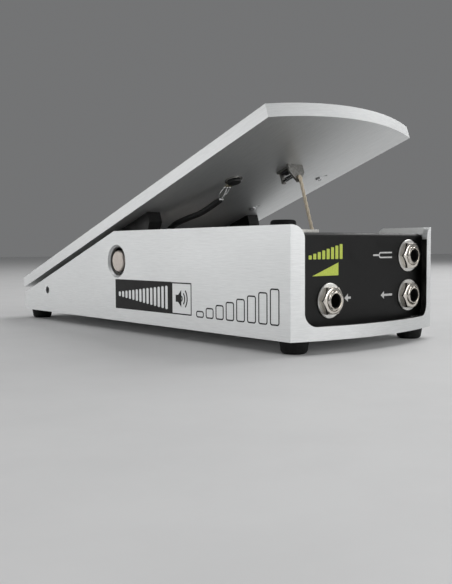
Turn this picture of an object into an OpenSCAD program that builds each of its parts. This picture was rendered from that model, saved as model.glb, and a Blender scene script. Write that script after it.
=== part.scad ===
// Foot volume pedal: a folded aluminium chassis and a tilting treadle on a cross shaft.
// The treadle turns a potentiometer through a cord that runs over a drum.
// Rest pose: heel down. +Y points to the heel, -Y to the toe and the jacks.

/* [Chassis] */
// Width over the side walls
chassis_w = 108; // [106:0.5:112]
// Length of a straight side wall
chassis_l = 270.7; // [266:0.1:278]
// Height of the side walls in front of the break
chassis_h = 53.6; // [53:0.1:55]
// Height of the side walls at the heel
heel_h = 11.9; // [10:0.1:14]
// Distance from the front corner to the break in the top edge
break_y = 148.6; // [144:0.1:152]
// How far the curved front bulges past its corners
front_sag = 9.6; // [8:0.1:11]
// Sheet thickness of the chassis
sheet_t = 3; // [2.5:0.1:3]

/* [Front panel] */
// Width of the two pillars beside the front window
pillar_w = 7; // [6:0.1:8]
// Height of the rail under the front window
rail_h = 6.5; // [5.5:0.1:7]
// Corner radius of the front window
window_r = 6.5; // [4:0.1:6.5]
// Height of the jack panel's top edge
panel_top = 50.2; // [49:0.1:51]

/* [Treadle] */
// Tilt of the treadle at rest, which is its whole travel
rest_tilt = 18.75; // [17:0.05:18.75]
// Width of the treadle
treadle_w = 107.6; // [104:0.1:108]
// Thickness of the treadle plate
treadle_t = 6.8; // [6:0.1:7]
// From the pivot to the treadle's underside
treadle_lift = 21.5; // [21.5:0.1:22.5]
// From the pivot to the heel end
heel_reach = 125.4; // [120:0.1:126]
// From the pivot to the toe corners
toe_reach = 146.6; // [142:0.1:148]
// Thickness of the grip pad
pad_t = 1.2; // [0.8:0.1:1.5]

/* [Pivot] */
// Diameter of the pivot shaft
shaft_d = 12.7; // [12:0.1:13]
// Distance of the pivot behind the front corners
pivot_y = 146.1; // [144:0.1:148]
// Height of the pivot over the chassis bottom
pivot_z = 35.6; // [35.6:0.1:36]

/* [Jacks] */
// Bore for a 6.35 mm plug
jack_bore_d = 6.5; // [6.45:0.05:6.6]
// Thread diameter of a jack
jack_thread_d = 9.5; // [9:0.1:9.6]
// Nut size across its flats
jack_nut_af = 13; // [12:0.1:14]

/* [Feet] */
// Height of a rubber foot
foot_h = 6.35; // [6:0.05:8]
// Diameter of a rubber foot at the chassis
foot_d = 14.4; // [13:0.1:15]

/* [Hidden] */
$fn = 48;

smooth_fn = 360;                  // for the long curves of the chassis and the treadle
eps = 0.5;                        // how far a cutter runs past a face
free_gap = 0.1;                   // gap between a stop and what it stops

// The arc of the front, which the chassis and the treadle share.
half_w = chassis_w / 2;
front_r = (half_w * half_w + front_sag * front_sag) / (2 * front_sag);
front_cy = front_r - front_sag;
inner_x = half_w - sheet_t;

// Part frame: the origin is under the middle of the whole outline.
shaft_r = shaft_d / 2;
treadle_top = treadle_lift + treadle_t;
rear_y = pivot_y + heel_reach * cos(rest_tilt) + treadle_top * sin(rest_tilt);
mid_y = (rear_y - front_sag) / 2;

// The +X side wall's shallow relief behind the front corner.
relief_depth = 4;
relief_start = 30;
relief_end = 136;
relief_ramp = 6;

// Holes of the pivot, in the side walls.
wall_hole_r = 8.6;
wall_chamfer = 1.25;
shaft_recess = 0.8;
boss_r = 13;
boss_inner_x = 45;
set_screw_r = 2;

// Jack panel.
panel_t = 1.6;
panel_y = 3;
panel_w = 2 * inner_x - 0.8;
panel_bottom = 4;
panel_bend_r = 2;
panel_flange = 11;
panel_foot_w = 64;
panel_corner_r = 4;
panel_nut_room = 5.4;
panel_nut_top = 6.2;

// Jacks: [x, z] of each, on the panel.
input_at = [-24.5, 17.6];
output_at = [37.5, 17.6];
tuner_at = [37.5, 38.5];
jack_places = [input_at, output_at, tuner_at];
washer_t = 0.8;
washer_r = 8.5;
nut_t = 2.6;
jack_mouth_y = -1.4;
jack_shoulder_r = 7;
jack_shoulder_t = 2;
jack_back_y = 9;
jack_frame_l = 13;
jack_frame_w = 9;
jack_frame_t = 1;
wafer_y = 18;
wafer_l = 4;

// Potentiometer, on an axis along X, and its bracket.
drum_y = 43;
drum_z = 30;
bracket_x = -7;                   // the face of the upright that carries the potentiometer
bracket_t = 1.6;
bracket_top = 52.2;
bracket_left = -39;
deck_right = -10.5;
upright_y = 26.5;                 // front edge of the upright
pot_r = 12;
pot_depth = 10;
pot_bush_l = 7.2;
pot_shaft_r = 3.175;
run_gap = 0.025;

// Cord and drum.
cord_d = 2;
cord_x = 5.5;                     // the strand that goes up to the toe
cord_pitch = 2.4;
drum_r = 6.35;
drum_flange_r = 9;
drum_left = 0.2;
drum_w = 8.2;
drum_hub_l = 4.4;
wrap_r = drum_r + cord_d / 2 + 0.12;
guide_y = 235.65;
guide_z = 14.87;
guide_r = 2.4;
guide_wrap_r = guide_r + cord_d / 2 + 0.07;

// Where things hang under the treadle, in the treadle's own frame.
cord_plate_y = -103.4;
cord_plate_t = 1.2;
cord_hole_h = 14;
cord_screw_y = -95.5;
cord_ear_y = -91.2;               // rear face of the ear that the spring hooks on to
spring_h = 16.2;
heel_post_y = 92.9;
heel_post_h = 14.6;
lug_x = 34.8;
lug_w = 9;
lug_half_l = 27;
lug_eye_r = 12;
bushing_r = 8;
switch_x = -19.2;
switch_y = -78.5;
switch_ring_t = 0.9;

// Stops and feet.
toe_stop_at = [-28.5, 30.2];
toe_stop_r = 6.5;
heel_stop_r = 8;
heel_stop_x = 30;
heel_stop_y = 250;
foot_x = 44.5;
foot_front_y = 7;
foot_rear_y = 263;
foot_places = [for (x = [-foot_x, foot_x], y = [foot_front_y, foot_rear_y]) [x, y]];
foot_screw_r = 2;

// Screws that come up through the floor: under the panel, the bracket and the heel stops.
floor_screw_r = 1.5;
floor_screw_places = [
    [-26, 9.5], [0, 9.5], [26, 9.5], [-15, 34], [-15, 42], [-32.5, 34],
    [-heel_stop_x, heel_stop_y], [heel_stop_x, heel_stop_y]
];

// ---------- frames ----------

// Chassis frame (front corners at y = 0, bottom at z = 0) to part frame.
module placed() {
    translate([0, -mid_y, foot_h]) children();
}

// Treadle frame (pivot at the origin, plate level) to part frame, at rest.
module on_treadle() {
    placed() translate([0, pivot_y, pivot_z]) rotate([-rest_tilt, 0, 0]) children();
}

// A cylinder whose axis runs along X, from x1 to x2.
module rod_x(r, x1, x2) {
    translate([x1, 0, 0]) rotate([0, 90, 0]) cylinder(r = r, h = x2 - x1);
}

// A cylinder whose axis runs along Y, from y1 to y2.
module rod_y(r, y1, y2) {
    translate([0, y2, 0]) rotate([90, 0, 0]) cylinder(r = r, h = y2 - y1);
}

// A cylinder whose axis runs along Z, from z1 to z2.
module rod_z(r, z1, z2) {
    translate([0, 0, z1]) cylinder(r = r, h = z2 - z1);
}

// A hexagonal prism along Z, sized across its flats.
module hex_z(af, z1, z2) {
    translate([0, 0, z1]) cylinder(d = af / cos(30), h = z2 - z1, $fn = 6);
}

// A box from its lowest to its highest corner.
module block(low, high) {
    translate(low) cube(high - low);
}

// A (y, z) outline extruded along X.
module side_prism(x1, x2, outline) {
    translate([x1, 0, 0]) rotate([90, 0, 90]) linear_extrude(x2 - x1) polygon(outline);
}

// ---------- tubes along a route ----------

function unit(v) = v / norm(v);

function tangent(route, i) = unit(route[min(i + 1, len(route) - 1)] - route[max(i - 1, 0)]);

function tube_ring(route, i, r, sides, across) =
    let (t = tangent(route, i), u = unit(cross(t, across)), w = cross(t, u))
    [for (k = [0:sides - 1]) route[i] + r * (cos(360 * k / sides) * u + sin(360 * k / sides) * w)];

function tube_faces(rings, sides) = concat(
    [[for (k = [0:sides - 1]) k]],
    [[for (k = [sides - 1:-1:0]) (rings - 1) * sides + k]],
    [for (i = [0:rings - 2], k = [0:sides - 1])
        let (n = (k + 1) % sides)
        [i * sides + k, (i + 1) * sides + k, (i + 1) * sides + n, i * sides + n]]
);

// A tube swept along a route; across is a direction that the route never runs along.
module tube(route, r, sides, across) {
    polyhedron(
        points = [for (i = [0:len(route) - 1]) each tube_ring(route, i, r, sides, across)],
        faces = tube_faces(len(route), sides),
        convexity = 6
    );
}

// One point of a Catmull-Rom curve between b and c.
function curve_point(a, b, c, d, t) =
    0.5 * (2 * b + (c - a) * t + (2 * a - 5 * b + 4 * c - d) * t * t
        + (3 * b - a - 3 * c + d) * t * t * t);

// A smooth curve through hand-placed points, with n steps between two of them.
function curve(p, n) = concat(
    [for (i = [0:len(p) - 2], s = [0:n - 1])
        curve_point(p[max(i - 1, 0)], p[i], p[i + 1], p[min(i + 2, len(p) - 1)], s / n)],
    [p[len(p) - 1]]
);

// ---------- chassis ----------

// The plan of the chassis, drawn in by an inset, between two heights.
module plan_solid(inset, z1, z2) {
    intersection() {
        block([-half_w + inset, -front_sag - 1, z1], [half_w - inset, chassis_l - inset, z2]);
        translate([0, front_cy, 0]) cylinder_between(front_r - inset, z1, z2);
    }
}

module cylinder_between(r, z1, z2) {
    translate([0, 0, z1]) cylinder(r = r, h = z2 - z1, $fn = smooth_fn);
}

// The window in the curved front: round lower corners, and round shoulders on the pillars.
module front_window() {
    edge_x = half_w - pillar_w;
    flat_x = edge_x - window_r;
    low_z = rail_h + window_r;
    shoulder_z = chassis_h - window_r;
    top_z = chassis_h + eps;
    translate([0, 2.6, 0]) rotate([90, 0, 0]) linear_extrude(front_sag + 6) {
        translate([-edge_x, low_z]) square([2 * edge_x, top_z - low_z]);
        translate([-flat_x, rail_h]) square([2 * flat_x, top_z - rail_h]);
        for (s = [-1, 1]) {
            translate([s * flat_x, low_z]) circle(r = window_r);
            difference() {
                translate([s > 0 ? edge_x - eps : -edge_x - window_r, shoulder_z])
                    square([window_r + eps, window_r + eps]);
                translate([s * (edge_x + window_r), shoulder_z]) circle(r = window_r);
            }
        }
    }
}

module chassis() {
    slope = (chassis_h - heel_h) / (chassis_l - break_y);
    over = 4;
    color([0.80, 0.81, 0.81]) placed() difference() {
        plan_solid(0, 0, chassis_h);
        plan_solid(sheet_t, sheet_t, chassis_h + eps);
        side_prism(-half_w - eps, half_w + eps, [
            [break_y, chassis_h], [chassis_l + over, heel_h - over * slope],
            [chassis_l + over, chassis_h + over], [break_y, chassis_h + over]
        ]);
        side_prism(inner_x - eps, half_w + eps, [
            [relief_start, chassis_h + eps], [relief_start, chassis_h],
            [relief_start + relief_ramp, chassis_h - relief_depth],
            [relief_end - relief_ramp, chassis_h - relief_depth],
            [relief_end, chassis_h], [relief_end, chassis_h + eps]
        ]);
        front_window();
        translate([0, pivot_y, pivot_z]) {
            rod_x(wall_hole_r, -half_w - eps, half_w + eps);
            for (s = [-1, 1])
                translate([s * (half_w + 0.01), 0, 0]) rotate([0, -s * 90, 0])
                    cylinder(r1 = wall_hole_r + wall_chamfer, r2 = wall_hole_r, h = wall_chamfer);
        }
        translate([0, guide_y, guide_z]) rod_x(guide_r + 0.02, -half_w - eps, half_w + eps);
        for (p = floor_screw_places)
            translate([p.x, p.y, 0]) rod_z(floor_screw_r + 0.05, -eps, sheet_t + eps);
        for (p = foot_places)
            translate([p.x, p.y, 0]) rod_z(foot_screw_r + 0.05, -eps, sheet_t + eps);
    }
}

// ---------- front panel and jacks ----------

// The panel's section, seen along X: an upright plate with a rounded bend and a top flange.
module panel_section() {
    bend_y = panel_y + panel_bend_r;
    bend_z = panel_top - panel_bend_r;
    inner_r = panel_bend_r - panel_t;
    difference() {
        union() {
            translate([panel_y, panel_bottom]) square([panel_bend_r, bend_z - panel_bottom]);
            translate([bend_y, bend_z - 1]) square([panel_flange - panel_bend_r, panel_bend_r + 1]);
            translate([bend_y, bend_z]) circle(r = panel_bend_r);
        }
        translate([panel_y + panel_t, 0]) square([panel_flange, bend_z]);
        translate([bend_y, bend_z - 2]) square([panel_flange, 2 + inner_r]);
        translate([bend_y, bend_z]) circle(r = inner_r);
    }
}

module jack_panel() {
    foot_y2 = panel_y + panel_flange;
    color([0.13, 0.13, 0.135]) placed() difference() {
        union() {
            translate([-panel_w / 2, 0, 0]) rotate([90, 0, 90])
                linear_extrude(panel_w) panel_section();
            block([-panel_foot_w / 2, panel_y, sheet_t],
                  [panel_foot_w / 2, panel_y + panel_t, panel_bottom + 1]);
            block([-panel_foot_w / 2, panel_y, sheet_t],
                  [panel_foot_w / 2, foot_y2, sheet_t + panel_t]);
        }
        for (s = [-1, 1])                                            // room for the foot nuts
            translate([s * (foot_x + 1), panel_y + panel_t / 2, 0])
                cube([2 * panel_nut_room, panel_t + 2 * eps, 2 * panel_nut_top], center = true);
        for (s = [-1, 1])
            translate([s * panel_w / 2, panel_y - 1, panel_top]) rotate([-90, 0, 0])
                corner_cutter(panel_corner_r, panel_flange + 2);
        for (p = jack_places)
            translate([p.x, 0, p.y]) rod_y(jack_thread_d / 2 + 0.05, 0, panel_y + panel_t + eps);
        for (i = [0:2])
            translate([floor_screw_places[i].x, floor_screw_places[i].y, 0])
                rod_z(floor_screw_r + 0.05, 0, sheet_t + panel_t + eps);
    }
}

// Cuts a corner round: the square that stays outside a quarter circle, both ways in x.
module corner_cutter(r, h) {
    difference() {
        translate([-r, -eps, 0]) cube([2 * r, r + eps, h]);
        for (s = [-1, 1]) translate([s * r, r, -eps]) cylinder(r = r, h = h + 2 * eps);
    }
}

// One jack: threaded sleeve, shoulder behind the panel and a side frame; side is +1 or -1.
module jack(at, side) {
    arm_outer = side * (jack_shoulder_r - 1.5);
    arm_inner = arm_outer - side * jack_frame_t;
    color([0.78, 0.76, 0.72]) placed() translate([at.x, 0, at.y]) difference() {
        union() {
            rod_y(jack_thread_d / 2, jack_mouth_y, jack_back_y);
            rod_y(jack_shoulder_r, panel_y + panel_t, panel_y + panel_t + jack_shoulder_t);
            block([min(arm_outer, arm_inner), panel_y + panel_t + 0.5, -jack_frame_w / 2],
                  [max(arm_outer, arm_inner), jack_back_y + jack_frame_l, jack_frame_w / 2]);
        }
        rod_y(jack_bore_d / 2, jack_mouth_y - eps, jack_back_y + eps);
    }
}

module jack_washers() {
    color([0.80, 0.78, 0.75]) placed() for (p = jack_places)
        translate([p.x, 0, p.y]) difference() {
            rod_y(washer_r, panel_y - washer_t, panel_y);
            rod_y(jack_thread_d / 2 + 0.05, panel_y - washer_t - eps, panel_y + eps);
        }
}

module jack_nuts() {
    nut_y = panel_y - washer_t;
    color([0.82, 0.79, 0.74]) placed() for (p = jack_places)
        translate([p.x, 0, p.y]) difference() {
            translate([0, nut_y, 0]) rotate([90, 0, 0]) hex_z(jack_nut_af, 0, nut_t);
            rod_y(jack_thread_d / 2 + 0.02, nut_y - nut_t - eps, nut_y + eps);
        }
}

// The insulating wafers that hold the springs, on the inner side of each frame.
module jack_insulators() {
    color([0.45, 0.27, 0.15]) placed() for (i = [0:2]) {
        side = i == 0 ? -1 : 1;
        inner = side * (jack_shoulder_r - 1.5 - jack_frame_t);
        translate([jack_places[i].x, 0, jack_places[i].y])
            block([min(inner, inner - side * 3.6), wafer_y, -jack_frame_w / 2],
                  [max(inner, inner - side * 3.6), wafer_y + wafer_l, jack_frame_w / 2]);
    }
}

// The two contact springs of each jack, clamped behind the wafers.
module jack_springs() {
    color([0.75, 0.65, 0.42]) placed() for (i = [0:2]) {
        side = i == 0 ? -1 : 1;
        outer = side * (jack_shoulder_r - 1.5 - jack_frame_t - 3.6);
        translate([jack_places[i].x, 0, jack_places[i].y]) for (z = [-2.4, 2.4])
            translate([0, 0, z - 1.2]) linear_extrude(2.4) polygon([
                [outer, wafer_y + 7], [outer, 13], [outer - side * 1.2, 11], [outer, 9.6],
                [outer - side * 0.5, 9.4], [outer - side * 1.8, 11], [outer - side * 0.5, 13.2],
                [outer - side * 0.5, wafer_y + 7]
            ]);
    }
}

module floor_screws() {
    color([0.62, 0.62, 0.64]) placed() for (p = floor_screw_places)
        translate([p.x, p.y, 0]) {
            rod_z(3, -1.6, 0);
            rod_z(floor_screw_r, -0.5, sheet_t + 3.2);
        }
}

// ---------- potentiometer, bracket and stops ----------

module pot_bracket() {
    deck_z = bracket_top - bracket_t;
    up_x = bracket_x - bracket_t;
    color([0.72, 0.72, 0.70]) placed() difference() {
        union() {
            block([bracket_left, 22.5, deck_z], [deck_right, 40, bracket_top]);
            block([deck_right - eps, upright_y, deck_z], [bracket_x, 40, bracket_top]);
            block([up_x, upright_y, sheet_t], [bracket_x, 40, deck_z + eps]);
            block([up_x, upright_y, sheet_t], [bracket_x, drum_y + 10, drum_z + pot_r]);
            block([-22, 30, sheet_t], [up_x + eps, 46, sheet_t + bracket_t]);
            block([bracket_left, 24, sheet_t], [bracket_left + bracket_t, 40, deck_z + eps]);
            block([bracket_left, 28, sheet_t], [-28, 40, sheet_t + bracket_t]);
        }
        translate([0, drum_y, drum_z]) rod_x(4.8, up_x - eps, bracket_x + eps);
        block([up_x - eps, 39, 6], [bracket_x + eps, 46, 11.5]);     // a wire passes here
        translate([toe_stop_at.x, toe_stop_at.y, 0]) rod_z(1.8, deck_z - eps, bracket_top + eps);
        for (i = [3:5])
            translate([floor_screw_places[i].x, floor_screw_places[i].y, 0])
                rod_z(floor_screw_r + 0.05, 0, sheet_t + bracket_t + eps);
    }
}

module potentiometer() {
    face_x = bracket_x - bracket_t;
    color([0.55, 0.55, 0.56]) placed() translate([0, drum_y, drum_z]) difference() {
        union() {
            rod_x(pot_r, face_x - pot_depth, face_x);
            rod_x(4.75, face_x - eps, face_x + pot_bush_l);
        }
        rod_x(pot_shaft_r + run_gap, face_x - 6, face_x + pot_bush_l + eps);
    }
}

module pot_nut() {
    color([0.70, 0.70, 0.70]) placed() translate([0, drum_y, drum_z]) difference() {
        union() {
            rod_x(7.5, bracket_x, bracket_x + 0.6);
            translate([bracket_x + 0.6, 0, 0]) rotate([0, 90, 0]) hex_z(11, 0, 2.2);
        }
        rod_x(4.77, bracket_x - eps, bracket_x + 3.3);
    }
}

// Three solder terminals under the potentiometer, on its phenolic strip.
module pot_terminals() {
    color([0.80, 0.76, 0.62]) placed() for (dy = [-5, 0, 5])
        block([-13, drum_y + dy - 1.1, 13.5], [-12.2, drum_y + dy + 1.1, drum_z - pot_r + 1.4]);
}

module toe_stop() {
    top = pivot_z + treadle_lift - free_gap;
    color([0.07, 0.07, 0.07]) placed() translate([toe_stop_at.x, toe_stop_at.y, 0]) difference() {
        union() {
            rod_z(toe_stop_r, bracket_top, top - 1);
            translate([0, 0, top - 1]) cylinder(r1 = toe_stop_r, r2 = toe_stop_r - 1, h = 1);
        }
        rod_z(1.8, bracket_top - eps, top);
        rod_z(3.6, bracket_top + 1.6, top + eps);
    }
}

module toe_stop_screw() {
    color([0.62, 0.62, 0.64]) placed() translate([toe_stop_at.x, toe_stop_at.y, 0]) {
        rod_z(3.2, bracket_top + 1.6, bracket_top + 3.4);
        rod_z(1.7, bracket_top - bracket_t - 4, bracket_top + 2);
        hex_z(6, bracket_top - bracket_t - 2.6, bracket_top - bracket_t);
    }
}

// Two rubber blocks that the treadle's heel rests on, cut off along its underside.
module heel_stops() {
    color([0.07, 0.07, 0.07]) difference() {
        placed() for (s = [-1, 1])
            translate([s * heel_stop_x, heel_stop_y, 0]) difference() {
                rod_z(heel_stop_r, sheet_t, 32);
                rod_z(floor_screw_r + 0.02, 0, sheet_t + 3.4);
            }
        on_treadle() block([-60, 60, treadle_lift - free_gap], [60, 140, treadle_lift + 30]);
    }
}

// ---------- pivot, guide rod, feet ----------

module pivot_shaft() {
    end_x = half_w - shaft_recess;
    color([0.62, 0.59, 0.55]) placed() translate([0, pivot_y, pivot_z]) {
        rod_x(shaft_r, -end_x + 0.6, end_x - 0.6);
        for (s = [-1, 1])
            translate([s * (end_x - 0.6), 0, 0]) rotate([0, s * 90, 0])
                cylinder(r1 = shaft_r, r2 = shaft_r - 0.6, h = 0.6);
    }
}

// Bosses on the inner faces of the side walls, which hold the shaft.
module shaft_bosses() {
    color([0.70, 0.71, 0.72]) placed() translate([0, pivot_y, pivot_z]) difference() {
        rod_x(boss_r, boss_inner_x, inner_x);
        rod_x(boss_r, -inner_x, -boss_inner_x);
        rod_x(shaft_r + 0.02, -half_w, half_w);
        for (s = [-1, 1])
            translate([s * (boss_inner_x + inner_x) / 2, 0, 0]) rod_z(set_screw_r + 0.02, -boss_r - eps, 0);
    }
}

module boss_set_screws() {
    color([0.15, 0.15, 0.16]) placed() translate([0, pivot_y, pivot_z])
        for (s = [-1, 1])
            translate([s * (boss_inner_x + inner_x) / 2, 0, 0]) difference() {
                rod_z(set_screw_r, -boss_r - 0.6, -shaft_r - 0.03);
                hex_z(2, -boss_r - 1, -boss_r + 1.6);
            }
}

// Cross rod near the heel that turns the cord upwards.
module cord_guide_rod() {
    color([0.22, 0.22, 0.23]) placed() translate([0, guide_y, guide_z])
        rod_x(guide_r, -half_w + 1.2, half_w - 1.2);
}

module rubber_feet() {
    color([0.06, 0.06, 0.06]) placed() for (p = foot_places)
        translate([p.x, p.y, 0]) difference() {
            rotate_extrude() polygon([
                [0, -foot_h], [foot_d / 2 - 2.2, -foot_h], [foot_d / 2 - 1.3, -foot_h + 0.5],
                [foot_d / 2 - 0.8, -foot_h + 1.5], [foot_d / 2, 0], [0, 0]
            ]);
            rod_z(foot_screw_r + 0.05, -foot_h - eps, eps);
            rod_z(4, -foot_h - eps, -2.8);
        }
}

module foot_screws() {
    color([0.55, 0.55, 0.57]) placed() for (p = foot_places)
        translate([p.x, p.y, 0]) {
            rod_z(3.6, -5, -2.8);
            rod_z(foot_screw_r, -4, sheet_t + 3.1);
        }
}

module foot_nuts() {
    color([0.66, 0.66, 0.67]) placed() for (p = foot_places)
        translate([p.x, p.y, 0]) difference() {
            hex_z(7, sheet_t, sheet_t + 2.9);
            rod_z(foot_screw_r + 0.02, sheet_t - eps, sheet_t + 4);
        }
}

// ---------- wires ----------

wire_r = 0.8;
wire_routes = [
    [[-26, 26.5, 14], [-24, 29, 11], [-18, 34, 8.5], [-13, 38, 10], [-12.6, 38, 12.7]],
    [[-12.6, 43, 12.7], [-10, 43.4, 9], [2, 37, 6.5], [18, 28, 6.5], [30, 26, 9], [34, 27, 13]],
    [[36, 27, 21], [36, 29, 26], [36, 28, 31], [36, 26.5, 34.8]],
    [[-28, 26.5, 21.5], [-31, 30, 26], [-26, 42, 22], [-16, 50, 10], [-12.6, 48, 12]]
];

module signal_wires() {
    color([0.75, 0.70, 0.25]) placed() for (route = wire_routes)
        tube(curve(route, 4), wire_r, 8, [0.3, 0.2, 1]);
}

// ---------- drum and drive cord ----------

module pot_shaft() {
    face_x = bracket_x - bracket_t;
    color([0.70, 0.70, 0.72]) placed() translate([0, drum_y, drum_z])
        rod_x(pot_shaft_r, face_x - 5.9, drum_left + drum_w + drum_hub_l);
}

module cord_drum() {
    end_x = drum_left + drum_w;
    color([0.85, 0.85, 0.82]) placed() translate([0, drum_y, drum_z]) difference() {
        union() {
            rod_x(drum_r, drum_left, end_x + drum_hub_l);
            rod_x(drum_flange_r, drum_left, drum_left + 1);
            rod_x(drum_flange_r, end_x - 1, end_x);
        }
        rod_x(pot_shaft_r + 0.01, drum_left - eps, end_x + drum_hub_l + eps);
        translate([end_x + drum_hub_l / 2, 0, 0]) rod_z(1.27, 0, drum_r + eps);
    }
}

module drum_set_screw() {
    color([0.15, 0.15, 0.16]) placed()
        translate([drum_left + drum_w + drum_hub_l / 2, drum_y, drum_z])
            rod_z(1.25, pot_shaft_r + 0.02, drum_r - 0.2);
}

// A point of the treadle's frame as a point of the chassis frame, at rest.
function at_rest(p) = [
    p.x,
    pivot_y + p.y * cos(rest_tilt) + p.z * sin(rest_tilt),
    pivot_z - p.y * sin(rest_tilt) + p.z * cos(rest_tilt)
];

// The straight toe strand: from the bracket's hole down to the front of the drum.
toe_end = at_rest([cord_x, cord_plate_y - cord_d / 2 - 0.1, cord_hole_h - 0.6]);
toe_dy = toe_end.y - drum_y;
toe_dz = toe_end.z - drum_z;
toe_turn = atan2(toe_dz, toe_dy) + acos(wrap_r / norm([toe_dy, toe_dz]));

// The long strand: tangent under the drum and under the guide rod.
long_dy = guide_y - drum_y;
long_dz = guide_z - drum_z;
long_turn = atan2(long_dz, long_dy) + asin((wrap_r - guide_wrap_r) / norm([long_dy, long_dz])) - 90;

wrap_turn = 360 + 360 + long_turn - toe_turn;
wrap_steps = 38;
guide_steps = 6;
cord_end_gap = 0.6;               // under the tilted end of the heel post
heel_end_z = at_rest([0, heel_post_y, heel_post_h]).z - cord_end_gap;

cord_route = concat(
    [toe_end],
    [for (i = [0:wrap_steps])
        let (a = toe_turn + wrap_turn * i / wrap_steps)
        [cord_x - cord_pitch * i / wrap_steps, drum_y + wrap_r * cos(a), drum_z + wrap_r * sin(a)]],
    [for (i = [0:guide_steps])
        let (a = long_turn - long_turn * i / guide_steps)
        [cord_x - cord_pitch, guide_y + guide_wrap_r * cos(a), guide_z + guide_wrap_r * sin(a)]],
    [[cord_x - cord_pitch, guide_y + guide_wrap_r, heel_end_z]]
);

module drive_cord() {
    color([0.80, 0.74, 0.60]) placed() tube(cord_route, cord_d / 2, 8, [1, 0, 0]);
}

// ---------- treadle ----------

// The treadle's outline: straight sides and heel, and the same curved front as the chassis.
module treadle_plate(inset, z1, z2) {
    centre_y = -toe_reach + front_cy;
    intersection() {
        block([-treadle_w / 2 + inset, -toe_reach - front_sag - 1, z1],
              [treadle_w / 2 - inset, heel_reach - inset, z2]);
        translate([0, centre_y, 0]) cylinder_between(front_r - inset, z1, z2);
    }
}

lug_screw_places = [for (s = [-1, 1], y = [-19, 19]) [s * (lug_x + lug_w / 2), y]];
underside_places = [[29.6, -38.2], [40.7, -88.2]];

module treadle() {
    color([0.80, 0.81, 0.81]) on_treadle() difference() {
        treadle_plate(0, treadle_lift, treadle_top);
        for (p = lug_screw_places) translate([p.x, p.y, 0]) {
            rod_z(2.05, treadle_lift - eps, treadle_top + eps);
            translate([0, 0, treadle_top - 2.2]) cylinder(r1 = 2.05, r2 = 4.3, h = 2.21);
        }
        for (p = underside_places) {
            translate([p.x, p.y, 0]) rod_z(1.22, treadle_lift - eps, treadle_lift + 4);
            translate([p.x + 1.4, p.y - 4, 0]) rod_z(1.1, treadle_lift - eps, treadle_lift + 3);
        }
        translate([cord_x, cord_screw_y, 0]) rod_z(1.52, treadle_lift - eps, treadle_lift + 4);
        translate([cord_x - cord_pitch, heel_post_y, 0]) rod_z(2.02, treadle_lift - eps, treadle_lift + 4);
        translate([switch_x, switch_y, 0]) rod_z(4, treadle_lift - eps, treadle_top + eps);
    }
}

module grip_pad() {
    color([0.08, 0.08, 0.08]) on_treadle() difference() {
        treadle_plate(5, treadle_top, treadle_top + pad_t);
        translate([switch_x, switch_y, 0]) rod_z(6.5, treadle_top - eps, treadle_top + pad_t + eps);
    }
}

// A hinge lug: wide where it meets the treadle, with an eye round the shaft.
module hinge_lug(side) {
    shoulder = treadle_lift - 6;
    x1 = side > 0 ? lug_x : -lug_x - lug_w;
    color([0.20, 0.20, 0.21]) on_treadle() difference() {
        union() {
            side_prism(x1, x1 + lug_w, [
                [-lug_half_l, treadle_lift], [lug_half_l, treadle_lift], [lug_half_l, shoulder],
                [11.3, -4], [-11.3, -4], [-lug_half_l, shoulder]
            ]);
            rod_x(lug_eye_r, x1, x1 + lug_w);
        }
        rod_x(bushing_r, x1 - eps, x1 + lug_w + eps);
        for (y = [-19, 19])
            translate([x1 + lug_w / 2, y, 0]) rod_z(2.02, treadle_lift - 6.5, treadle_lift + eps);
    }
}

// Flanged bushings pressed into the lugs, running on the shaft.
module lug_bushings() {
    color([0.72, 0.55, 0.33]) on_treadle() difference() {
        for (turn = [0, 180]) rotate([0, turn, 0]) {
            rod_x(bushing_r, lug_x, lug_x + lug_w);
            rod_x(bushing_r + 2, lug_x + lug_w, lug_x + lug_w + 1);
        }
        rod_x(shaft_r + 0.04, -half_w, half_w);
    }
}

module lug_screws() {
    color([0.30, 0.30, 0.31]) on_treadle() for (p = lug_screw_places)
        translate([p.x, p.y, 0]) {
            rod_z(2, treadle_lift - 6.2, treadle_top - 2);
            translate([0, 0, treadle_top - 2.2]) cylinder(r1 = 2, r2 = 4.2, h = 2.15);
        }
}

// Folded angle under the toe: the cord runs through its pointed plate, the spring hooks on its ear.
module cord_bracket() {
    half = 5.8;
    tab_z = treadle_lift - cord_plate_t;
    shoulder_z = treadle_lift - 4.5;
    point_z = 11.2;
    tab_w = 6.4;
    ear_w = 2.4;
    plate_rear = cord_plate_y + cord_plate_t;
    color([0.70, 0.69, 0.66]) on_treadle() difference() {
        union() {
            translate([cord_x, plate_rear, 0]) rotate([90, 0, 0])
                linear_extrude(cord_plate_t) polygon([
                    [-half, treadle_lift], [half, treadle_lift], [half, shoulder_z],
                    [1.2, point_z], [-1.2, point_z], [-half, shoulder_z]
                ]);
            block([cord_x - tab_w / 2, cord_plate_y, tab_z],
                  [cord_x + tab_w / 2, cord_ear_y, treadle_lift]);
            block([cord_x - ear_w / 2, cord_ear_y - cord_plate_t, spring_h - 1.7],
                  [cord_x + ear_w / 2, cord_ear_y, treadle_lift]);
        }
        translate([cord_x, 0, cord_hole_h]) rod_y(1.3, cord_plate_y - eps, plate_rear + eps);
        translate([cord_x, 0, spring_h]) rod_y(0.8, cord_ear_y - cord_plate_t - eps, cord_ear_y + eps);
        translate([cord_x, cord_screw_y, 0]) rod_z(1.55, tab_z - eps, treadle_lift + eps);
    }
}

module cord_bracket_screw() {
    under = treadle_lift - cord_plate_t;
    color([0.20, 0.20, 0.21]) on_treadle() translate([cord_x, cord_screw_y, 0]) {
        rod_z(2.6, under - 1.8, under);
        rod_z(1.5, under - 0.5, treadle_lift + 3.8);
    }
}

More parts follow.
